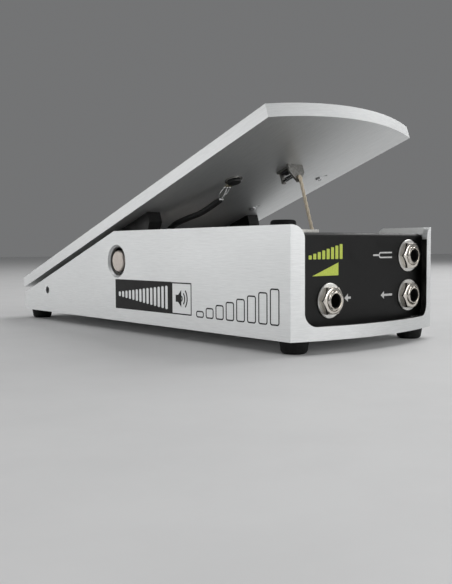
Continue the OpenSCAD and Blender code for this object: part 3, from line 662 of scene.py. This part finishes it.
def build_jacks():
    nuts, washers = [], []
    for node, (x, z, side) in JACK_PLACES.items():
        place = Matrix.Translation((x, 0, z)) @ OUTWARD
        stand = Matrix(((0, 0, 1, x + side * JACK_ARM_X), (0, 1, 0, 0), (1, 0, 0, z), (0, 0, 0, 1)))
        shapes = [placed(jack_sleeve(), place), placed(jack_shoulder(), place), placed(jack_arm(), stand)]
        piece = add_piece(node + "_detailed", joined(shapes), CHASSIS, "nickel", "base", [node])
        # Painted shade: the bore and its mouth's chamfer go near-black, standing in for the shade inside the
        # hole.
        paint(piece, "bore_painted_shade", lambda c, _, x=x, z=z: math.hypot(c.x - x, c.z - z) < BORE_SHADE_R)
        washers.append(placed(jack_washer(), place))
        nut = moved(hex_nut(NUT_AF, NUT_T, JACK_R + 0.03), 0, 0, WASHER_T - PANEL_Y)
        nuts.append(placed(nut, place))
    add_piece("jack_nuts_detailed", joined(nuts), CHASSIS, "nickel", "base", ["jack_nuts"])
    add_piece("jack_washers_detailed", joined(washers), CHASSIS, "nickel", "base", ["jack_washers"], "washer")


# ---------- screws ----------

def cross_recess(size, top, depth):
    """The tapered cross that a driver fits."""
    arm, half = size, size * 0.28
    outline = [(half, half), (half, arm), (-half, arm), (-half, half), (-arm, half), (-arm, -half),
               (-half, -half), (-half, -arm), (half, -arm), (half, -half), (arm, -half), (arm, half)]
    levels = [(1.0, top + 0.2), (1.0, top - depth * 0.3), (0.45, top - depth)]
    return loft([[Vector((x * k, y * k, z)) for x, y in outline] for k, z in levels])


def pan_head(r, h):
    """A domed screw head with a cross recess, standing on z = 0."""
    turns = [math.radians(d) for d in (8, 20, 32, 44, 56, 68, 80, 90)]
    dome = [(r * math.sin(a), h * (0.45 + 0.55 * math.cos(a))) for a in turns]
    return cut(lathe(dome + [(r, 0.1 * h), (r * 0.96, 0)], 40), cross_recess(r * 0.62, h, h * 0.75))


def screw(head_r, head_h, shank_r, length):
    """A pan-head screw whose head stands on z = 0 and whose thread runs down to -length."""
    thread = threaded(shank_r, shank_r * 0.16, 0.6, -length, 0.1, 24)
    tip = [circle(shank_r * 0.6, -length, 24)]
    return joined([pan_head(head_r, head_h), loft(tip + thread[1:])])


def countersunk(head_r, head_h, shank_r, length):
    """A countersunk screw whose flat top is at z = 0."""
    top = lathe([(head_r * 0.97, 0.0), (head_r, -0.12), (shank_r, -head_h), (shank_r, -head_h - 0.3)], 40)
    thread = threaded(shank_r, shank_r * 0.16, 0.7, -length, -head_h, 24)
    return joined([cut(top, cross_recess(head_r * 0.55, 0.0, head_h * 0.8)), loft(thread)])


UPSIDE_DOWN = Matrix.Rotation(math.radians(180), 4, "X")


def repeated(shape, places, z):
    """The shape at each place, at one height."""
    return joined([moved(shape, x, y, z) for x, y in places])


def build_base_screws():
    floor_screw = placed(screw(head_r=3.0, head_h=1.6, shank_r=1.5, length=6.2), UPSIDE_DOWN)
    add_piece("floor_screws_detailed", repeated(floor_screw, FLOOR_SCREWS, 0), CHASSIS,
              "zinc_screw", "base", ["floor_screws"])

    foot_screw = placed(screw(head_r=3.6, head_h=2.2, shank_r=2.0, length=8.9), UPSIDE_DOWN)
    add_piece("foot_screws_detailed", repeated(foot_screw, FOOT_SCREWS, FOOT_SCREW_Z), CHASSIS,
              "zinc_screw", "base", ["foot_screws"])

    stop_screw = screw(head_r=3.2, head_h=1.8, shank_r=1.7, length=7.2)
    stop_nut = placed(hex_nut(af=6, thickness=2.6, bore_r=1.72, chamfer=0.4, sides=48), UPSIDE_DOWN)
    both = [moved(stop_screw, TOE_STOP_X, TOE_STOP_Y, TOE_STOP_TOP),
            moved(stop_nut, TOE_STOP_X, TOE_STOP_Y, TOE_STOP_DECK)]
    add_piece("toe_stop_screw_detailed", joined(both), CHASSIS,
              "zinc_screw", "base", ["toe_stop_screw"])


def build_treadle_screws():
    bracket_screw = placed(screw(head_r=2.6, head_h=1.8, shank_r=1.5, length=4.9), UPSIDE_DOWN)
    under_plate = TREADLE_UNDER - CORD_PLATE_T
    add_piece("cord_bracket_screw_detailed", moved(bracket_screw, CORD_X, CORD_SCREW_Y, under_plate), TREADLE,
              "dark_steel", "treadle", ["cord_bracket_screw"])

    small_screw = placed(screw(head_r=2.2, head_h=1.1, shank_r=1.2, length=3.7), UPSIDE_DOWN)
    add_piece("underside_screws_detailed", repeated(small_screw, UNDERSIDE_SCREWS, TREADLE_UNDER), TREADLE,
              "zinc_screw", "treadle", ["underside_screws"])

    lug_screw = countersunk(head_r=4.2, head_h=2.15, shank_r=2.0, length=13)
    add_piece("lug_screws_detailed", repeated(lug_screw, LUG_SCREWS, TREADLE_TOP - 0.05), TREADLE,
              "dark_steel", "treadle", ["lug_screws"])


# ---------- grip pad ----------

PAD_HEEL = HEEL_REACH - PAD_INSET
PAD_TOE = -TOE_REACH - FRONT_SAG + PAD_INSET
PAD_HALF_W = TREADLE_W / 2 - PAD_INSET
PAD_HOLE_R = 6.5
RIB_PITCH, RIB_W = 3.0, 1.9


def pad_reach(y):
    """Half the width of the pad at y, which follows the curved toe at an even distance."""
    r = (WALL_X ** 2 + FRONT_SAG ** 2) / (2 * FRONT_SAG)
    centre = -TOE_REACH + r - FRONT_SAG
    reach = (r - PAD_INSET) ** 2 - (y - centre) ** 2
    return min(PAD_HALF_W, math.sqrt(max(reach, 0.0)))


def pad_sheet():
    """The flat sheet under the ribs, with a round hole for the switch."""
    arc_start, steps = -TOE_REACH + 4.0, 24
    rows = [PAD_HEEL - 1.0, arc_start]
    rows += [arc_start + (PAD_TOE + 0.02 - arc_start) * (i / steps) for i in range(1, steps + 1)]
    outline = [(PAD_HALF_W - 1.0, PAD_HEEL)] + [(pad_reach(y), y) for y in rows]
    outline += [(-x, y) for x, y in reversed(outline)]
    hole = [(SWITCH_X + p.x, SWITCH_Y + p.y) for p in circle(PAD_HOLE_R, 0, 40)]
    return plate([outline, hole], TREADLE_TOP, TREADLE_TOP + 0.55 * PAD_T)


def pad_rib(y):
    """One rib across the pad, in two lengths where the switch interrupts it."""
    low, high = TREADLE_TOP + 0.5 * PAD_T, TREADLE_TOP + PAD_T
    half = RIB_W / 2
    section = [(-half, low), (-half + 0.3, high), (half - 0.3, high), (half, low)]
    reach = pad_reach(y - half) - 1.5
    gap = (PAD_HOLE_R + 1.1) ** 2 - (y - SWITCH_Y) ** 2
    spans = [(-reach, reach)]
    if gap > 0:
        spans = [(-reach, SWITCH_X - math.sqrt(gap)), (SWITCH_X + math.sqrt(gap), reach)]
    return [loft([[Vector((x, y + dy, h)) for dy, h in section] for x in span]) for span in spans]


def build_grip_pad():
    """A rubber sheet with fine ribs across it and a clear ring round the switch."""
    shapes = [pad_sheet()]
    for i in range(int((PAD_HEEL - PAD_TOE - 5) / RIB_PITCH)):
        shapes += pad_rib(PAD_HEEL - 2.5 - i * RIB_PITCH)
    add_piece("grip_pad_ribbed", joined(shapes), TREADLE, "grip", "treadle", ["grip_pad"])


# ---------- drive cord ----------

def cord_path():
    """The cord's middle line in the chassis frame, and the two places where it is cut into pieces."""
    x = CORD_X
    top = at_rest(x, CORD_PLATE_Y - CORD_R - 0.1, CORD_HOLE_H - 0.6)
    dy, dz = top.y - DRUM_Y, top.z - DRUM_Z
    toe_turn = math.atan2(dz, dy) + math.acos(DRUM_WRAP_R / math.hypot(dy, dz))
    dy, dz = GUIDE_Y - DRUM_Y, GUIDE_Z - DRUM_Z
    lean = math.asin((DRUM_WRAP_R - GUIDE_WRAP_R) / math.hypot(dy, dz))
    long_turn = math.atan2(dz, dy) + lean - math.pi / 2
    wrap = 4 * math.pi + long_turn - toe_turn

    def on_drum(i, n):
        a = toe_turn + wrap * i / n
        return Vector((x - CORD_PITCH * i / n, DRUM_Y + DRUM_WRAP_R * math.cos(a),
                       DRUM_Z + DRUM_WRAP_R * math.sin(a)))

    def on_guide(i, n):
        a = long_turn * (1 - i / n)
        return Vector((x - CORD_PITCH, GUIDE_Y + GUIDE_WRAP_R * math.cos(a),
                       GUIDE_Z + GUIDE_WRAP_R * math.sin(a)))

    heel_top = at_rest(0, HEEL_POST_Y, HEEL_POST_H).z - CORD_END_GAP
    heel = Vector((x - CORD_PITCH, GUIDE_Y + GUIDE_WRAP_R, heel_top))
    drum = [on_drum(i, 160) for i in range(161)]
    guide = [on_guide(i, 16) for i in range(17)]
    strand = [top.lerp(drum[0], i / 160) for i in range(160)]
    floor = [drum[-1].lerp(guide[0], i / 500) for i in range(1, 500)]
    end = [guide[-1].lerp(heel, i / 12) for i in range(1, 13)]
    path = strand + drum + floor + guide + end
    return path, len(strand), len(strand) + len(drum) + len(floor) + len(guide) // 2


def plied(path, first, last):
    """A twisted cord along a stretch of a path: plies wound round its middle, one turn in each lay."""
    across = frames_along(path)
    travelled = 0.0
    offset, ply_r = CORD_R * 0.44, CORD_R * 0.55
    strands = [[] for _ in range(CORD_PLIES)]
    for i, point in enumerate(path):
        travelled += (point - path[i - 1]).length if i else 0.0
        if not first <= i <= last:
            continue
        u, v = across[i]
        for k in range(CORD_PLIES):
            a = 2 * math.pi * (travelled / CORD_LAY + k / CORD_PLIES)
            strands[k].append(point + (math.cos(a) * u + math.sin(a) * v) * offset)
    return joined([sweep(strand, ply_r, 10) for strand in strands])


def build_drive_cord():
    """The cord in three pieces: the toe strand with a mesh of its own, the long part on the base, and the
    heel's end on no body.
    """
    path, drum_start, heel_start = cord_path()
    strand = add_piece("drive_cord_toe", plied(path, 0, drum_start), CHASSIS,
                       "cord_fibre", "base", ["drive_cord"])
    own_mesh(strand)
    add_piece("drive_cord_long", plied(path, drum_start, heel_start), CHASSIS,
              "cord_fibre", "base", ["drive_cord"])
    heel = add_piece("drive_cord_heel", plied(path, heel_start, len(path) - 1), CHASSIS, "cord_fibre",
                     None, ["drive_cord"])
    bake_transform(heel)


def build_cord_ends():
    """The knot in front of the bracket's hole, and the cord's tail through it."""
    hole = Vector((CORD_X, CORD_PLATE_Y, CORD_HOLE_H))
    tail = [(0, -1.5, -1.7), (0, -1.35, -0.5), (0, -0.6, 0.1), (0, 1.4, 0.2), (0, 2.9, 1.0), (0.1, 3.6, 2.1)]
    tail = smooth_path([hole + Vector(p) for p in tail], 8)
    turns, steps = 1.5, 40
    knot = []
    for i in range(steps + 1):
        a = 2 * math.pi * turns * i / steps
        loop = Vector((1.05 * math.cos(a), -1.15 + 0.3 * math.sin(2 * a), -0.95 + 1.0 * math.sin(a)))
        knot.append(hole + loop)
    add_piece("cord_knot", joined([sweep(tail, 0.75, 10), sweep(knot, 0.42, 8)]), TREADLE,
              "cord_fibre", "treadle")


# ---------- spring ----------

def build_spring():
    """Open coils from the cord's tail to the ear, and a hook that passes through the ear's hole."""
    centre = Vector((CORD_X, SPRING_FRONT_Y, SPRING_H))
    steps = 28
    coil = []
    for i in range(steps * SPRING_TURNS + 1):
        a = 2 * math.pi * i / steps
        point = Vector((SPRING_R * math.cos(a), SPRING_PITCH * i / steps, SPRING_R * math.sin(a)))
        coil.append(centre + point)
    rear = coil[-1].y
    tail = [Vector((CORD_X, 0, SPRING_H)) + Vector(p) for p in (
        (0.85, rear + 0.35, 0.45), (0.3, rear + 0.8, 0.3), (0, rear + 1.2, 0), (0, CORD_EAR_Y - 0.9, 0),
        (0, CORD_EAR_Y + 0.3, 0.05), (0, CORD_EAR_Y + 0.75, -0.5), (0, CORD_EAR_Y + 0.6, -1.2)
    )]
    hook = smooth_path([coil[-1]] + tail, 6)
    add_piece("cord_spring_coils", sweep(coil + hook[1:], SPRING_WIRE_R, 10), TREADLE,
              "dark_steel", "treadle", ["cord_spring"])


# ---------- switch, cable and wires ----------

def knurled_circle(r, z, sides, depth):
    """A circle whose every other point is drawn in."""
    loop = circle(r, z, sides)
    inner = circle(r - depth, z, sides)
    return [inner[i] if i % 2 else loop[i] for i in range(sides)]


def build_switch():
    """The knurled ring under the plate, with a threaded neck through it."""
    sides, knurl = 72, 0.14
    low, high = TREADLE_UNDER - SWITCH_RING_T, TREADLE_UNDER
    outer = [circle(4.7, low, sides), knurled_circle(5.15, low + 0.2, sides, knurl),
             knurled_circle(5.15, low + 0.75, sides, knurl), circle(4.9, high, sides)]
    inner = [(3.95, high), (3.95, TREADLE_TOP - 0.2), (3.8, TREADLE_TOP), (2.95, TREADLE_TOP),
             (2.75, TREADLE_TOP - 0.2), (2.75, low + 0.3), (3.1, low)]
    ring = loft(outer + [circle(r, z, sides) for r, z in inner], closed=True)
    # The ring takes a darker copy of nickel: painted shade in place of the dark that falls on it under the
    # treadle.
    add_piece("switch_ring_knurled", moved(ring, SWITCH_X, SWITCH_Y, 0), TREADLE,
              "nickel", "treadle", ["switch_ring"], "shaded_nickel")


def solder_blob(place, r):
    turns = [math.radians(d) for d in (10, 35, 60, 90, 120, 145, 170)]
    return moved(lathe([(r * math.sin(a), r * math.cos(a)) for a in turns], 16), *place)


# The cable's route in the chassis frame, from the switch down to the chassis.
CABLE_POINTS = [
    (-19, 90.5, 70.6), (-20.5, 98, 66.6), (-22, 106, 63.2), (-23.5, 116, 60.6), (-25, 127, 57),
    (-26, 134, 51), (-26, 136, 42), (-25, 133, 31), (-23, 125, 19), (-21, 112, 9.5),
    (-19, 96, 6), (-17, 78, 5.6), (-15.5, 62, 8), (-14.5, 53, 13)
]


def build_switch_cable():
    path = smooth_path(CABLE_POINTS, 14)
    cable = add_piece("switch_cable_sheath", sweep(path, CABLE_R, 16), CHASSIS, "cable_black", None,
                      ["switch_cable"])
    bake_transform(cable)


def build_conductors():
    """The cable's bared end: three tinned conductors to the switch's lugs, with solder at both ends."""
    start = TREADLE.inverted() @ CHASSIS @ Vector(CABLE_POINTS[0])
    shapes, blobs = [], []
    for dx, sag in ((-1.8, -0.5), (0, 0.9), (1.8, -0.5)):
        lug = Vector((SWITCH_X + dx, SWITCH_Y + 6.6, TREADLE_UNDER - 2.2))
        middle = start.lerp(lug, 0.5) + Vector((dx * 0.8, 0, -sag))
        path = smooth_path([start + Vector((dx * 0.35, 0.8, 0)), middle, lug], 8)
        shapes.append(sweep(path, CONDUCTOR_R, 8))
        blobs.append(solder_blob(lug + Vector((0, 0, 0.2)), 0.75))
        blobs.append(solder_blob(start + Vector((dx * 0.55, -0.8, -0.2)), 0.62))
    add_piece("switch_conductors", joined(shapes + blobs), TREADLE, "spring_metal", "treadle", look="solder")


# Colour of each wire and its route in the chassis frame.
WIRES = {
    "red": [(-26, 26.5, 14), (-24, 29, 11), (-18, 34, 8.5), (-13, 38, 10), (-12.6, 38, 12.7)],
    "yellow": [(-12.6, 43, 12.7), (-10, 43.4, 9), (2, 37, 6.5), (18, 28, 6.5), (30, 26, 9), (34, 27, 13)],
    "white": [(36, 27, 21), (36, 29, 26), (36, 28, 31), (36, 26.5, 34.8)],
    "blue": [(-28, 26.5, 21.5), (-31, 30, 26), (-26, 42, 22), (-16, 50, 10), (-12.6, 48, 12)],
}


def build_signal_wires():
    """Insulated wires, each with both ends in a blob of solder."""
    ends = []
    for colour, points in WIRES.items():
        path = smooth_path(points, 12)
        add_piece("wire_" + colour, sweep(path, WIRE_R, 12), CHASSIS,
                  "wire_yellow", "base", ["signal_wires"], "wire_" + colour)
        ends += [solder_blob(path[0], 1.0), solder_blob(path[-1], 1.0)]
    add_piece("wire_solder", joined(ends), CHASSIS, "spring_metal", "base", look="solder")


# ---------- printed marks ----------

INK = 0.03
WALL_LINE = 0.7
MARKS_LOW, MARKS_HIGH = 7.5, 24.9
BAR_LEFT, BAR_RIGHT, ICON_RIGHT = -147.5, -90.4, -72.9


def wall_print(name, shapes, look):
    """Ink on the near wall. Shapes are drawn with x to the front and y up."""
    stand = Matrix(((0, 0, -1, WALL_X), (-1, 0, 0, 0), (0, 1, 0, 0), (0, 0, 0, 1)))
    add_piece(name, joined(shapes), CHASSIS @ stand, "brushed_aluminium", "base", look=look)


def panel_print(name, shapes, look):
    """Ink on the front panel. Shapes are drawn with x and y as one sees them from the front."""
    stand = Matrix(((1, 0, 0, 0), (0, 0, -1, PANEL_Y), (0, 1, 0, 0), (0, 0, 0, 1)))
    add_piece(name, joined(shapes), CHASSIS @ stand, "black_panel", "base", look=look)


def ink(*loops):
    """A flat mark: its outline, then its holes."""
    return plate(list(loops), 0, INK)


def ink_frame(x0, y0, x1, y1, r):
    """A rounded frame of one line width."""
    inside = rounded(x0 + WALL_LINE, y0 + WALL_LINE, x1 - WALL_LINE, y1 - WALL_LINE, max(r - WALL_LINE, 0.2))
    return ink(rounded(x0, y0, x1, y1, r), list(reversed(inside)))


def level_bar():
    """A solid bar with rising level marks left out of it."""
    count = 14
    pitch = (BAR_RIGHT - BAR_LEFT - 6) / count
    middle = (MARKS_LOW + MARKS_HIGH) / 2
    cutouts = []
    for i in range(count):
        x = BAR_LEFT + 3 + i * pitch + 0.5
        half = (2.0 + (MARKS_HIGH - MARKS_LOW - 6.5) * (i + 1) / count) / 2
        cutouts.append(list(reversed(rounded(x, middle - half, x + pitch - 1.3, middle + half, 0.8, 4))))
    return ink(rounded(BAR_LEFT, MARKS_LOW, BAR_RIGHT, MARKS_HIGH, 0.4, 2), *cutouts)


def sound_icon():
    """A loudspeaker with three waves, in a frame that touches the bar."""
    marks = [ink_frame(BAR_RIGHT - 0.1, MARKS_LOW, ICON_RIGHT, MARKS_HIGH - 0.1, 0.3)]
    cx, cy = (BAR_RIGHT + ICON_RIGHT) / 2, (MARKS_LOW + MARKS_HIGH) / 2
    marks.append(ink([(cx - 5.2, cy - 1.9), (cx - 3.0, cy - 1.9), (cx - 0.2, cy - 4.6), (cx - 0.2, cy + 4.6),
                      (cx - 3.0, cy + 1.9), (cx - 5.2, cy + 1.9)]))
    turns = [math.radians(-42 + 84 * i / 12) for i in range(13)]
    for r in (2.6, 4.8, 7.0):
        outer = [(cx - 1.6 + r * math.cos(a), cy + r * math.sin(a)) for a in turns]
        inner = [(cx - 1.6 + (r - 0.9) * math.cos(a), cy + (r - 0.9) * math.sin(a)) for a in reversed(turns)]
        marks.append(ink(outer + inner))
    return marks


def rising_frames():
    """Outlined bars that rise to the front."""
    left, right, count, gap = -69.0, -7.0, 8, 1.6
    low, first_top, last_top = 7.0, 10.6, 24.3
    pitch = (right - left + gap) / count
    marks = []
    for i in range(count):
        x = left + i * pitch
        top = first_top + (last_top - first_top) * i / (count - 1)
        marks.append(ink_frame(x, low, x + pitch - gap, top, 1.4))
    return marks


def green_marks():
    """Rising bars over a wedge."""
    left, right, count, gap = -38.9, -15.0, 8, 1.0
    low, first_top, rise = 37.5, 39.4, 5.3
    pitch = (right - left + gap) / count
    marks = []
    for i in range(count):
        x = left + i * pitch
        top = first_top + rise * i / (count - 1)
        marks.append(ink(rounded(x, low, x + pitch - gap, top, 0.35, 3)))
    marks.append(ink([(-36.4, 29.6), (-18.0, 29.6), (-18.0, 35.8)]))
    return marks


def arrow(tail_x, head_x, y):
    direction = 1 if head_x > tail_x else -1
    neck = head_x - direction * 2.6
    return ink([(head_x, y), (neck, y + 2.0), (neck, y + 0.55), (tail_x, y + 0.55),
                (tail_x, y - 0.55), (neck, y - 0.55), (neck, y - 2.0)])


def tuning_fork():
    """Two prongs from a round bend, and a stem."""
    y, r, inner_r = 39.0, 1.6, 0.85
    stem_x, bend_x, prong_x = 8.4, 14.6, 23.9
    turns = [math.radians(90 + 180 * i / 12) for i in range(13)]
    outer = [(bend_x + r * math.cos(a), y + r * math.sin(a)) for a in turns]
    inner = [(bend_x + inner_r * math.cos(a), y + inner_r * math.sin(a)) for a in reversed(turns)]
    ends = [(prong_x, y - r), (prong_x, y - inner_r)]
    prongs = ink([(prong_x, y + r)] + outer + ends + inner + [(prong_x, y + inner_r)])
    return [prongs, ink(rounded(stem_x, y - 0.45, bend_x - r + 0.3, y + 0.45, 0.4, 3))]


def build_marks():
    wall_print("wall_marks", [level_bar()] + sound_icon() + rising_frames(), "print_black")
    panel_print("panel_marks_green", green_marks(), "print_green")
    arrows = [arrow(-8.8, -13.5, 18.3), arrow(24.2, 14.8, 18.4)]
    panel_print("panel_marks_white", arrows + tuning_fork(), "print_white")


# ---------- stage, light and camera, in metres ----------

LIT_POINT = Vector((0, 0, 0.05))
CAMERA_PLACE = Vector((-0.29383, -0.36987, 0.04960))
CAMERA_YAW, CAMERA_PITCH, CAMERA_ROLL = math.radians(40.326), math.radians(3.393), math.radians(-0.353)
LENS = 46.05


def build_stage():
    half = 4.0
    points = [Vector((x * half, y * half, 0)) for x, y in ((-1, -1), (1, -1), (1, 1), (-1, 1))]
    floor = mesh_object("floor", (points, [(0, 1, 2, 3)]))
    paper = grainy("floor_paper", (0.74, 0.74, 0.74), (0.77, 0.77, 0.77), (0.5, 0.6), 40, 0.0)
    floor.data.materials.append(paper)


def area_light(name, place, size, power):
    """A softbox that faces the pedal."""
    data = bpy.data.lights.new(name, "AREA")
    data.shape = "RECTANGLE"
    data.size, data.size_y = size
    data.energy = power
    lamp = bpy.data.objects.new(name, data)
    bpy.context.scene.collection.objects.link(lamp)
    lamp.location = place
    lamp.rotation_euler = (LIT_POINT - lamp.location).to_track_quat("-Z", "Y").to_euler()


def build_light():
    world = bpy.data.worlds.new("studio")
    bpy.context.scene.world = world
    world.use_nodes = True
    world.node_tree.nodes["Background"].inputs["Color"].default_value = (0.78, 0.79, 0.80, 1)
    world.node_tree.nodes["Background"].inputs["Strength"].default_value = 0.22
    area_light("side_softbox", (-1.6, 1.2, 0.3), (1.8, 0.5), 6.6)
    area_light("front_softbox", (0.4, -1.6, 0.5), (1.7, 0.8), 10.5)
    area_light("top_softbox", (1.0, 0.0, 1.2), (1.2, 1.2), 12)
    area_light("far_softbox", (1.7, -0.1, 0.35), (0.9, 0.5), 2.5)
    area_light("near_softbox", (-0.7, 0.1, 1.3), (1.0, 1.0), 4)


def build_camera():
    yaw, pitch, roll = CAMERA_YAW, CAMERA_PITCH, CAMERA_ROLL
    ahead = Vector((math.sin(yaw) * math.cos(pitch), math.cos(yaw) * math.cos(pitch), -math.sin(pitch)))
    level_right = Vector((math.cos(yaw), -math.sin(yaw), 0))
    level_up = level_right.cross(ahead)
    right = math.cos(roll) * level_right + math.sin(roll) * level_up
    up = -math.sin(roll) * level_right + math.cos(roll) * level_up
    data = bpy.data.cameras.new("camera")
    data.lens = LENS
    data.sensor_width = 36
    camera = bpy.data.objects.new("camera", data)
    bpy.context.scene.collection.objects.link(camera)
    turn = Matrix((right, up, -ahead)).transposed().to_4x4()
    camera.matrix_world = Matrix.Translation(CAMERA_PLACE) @ turn
    bpy.context.scene.camera = camera
    bpy.context.scene.view_settings.view_transform = "Standard"


build_camera()
build_shells()
build_jacks()
build_base_screws()
build_treadle_screws()
build_grip_pad()
build_drive_cord()
build_cord_ends()
build_spring()
build_switch()
build_switch_cable()
build_conductors()
build_signal_wires()
build_marks()
build_stage()
build_light()
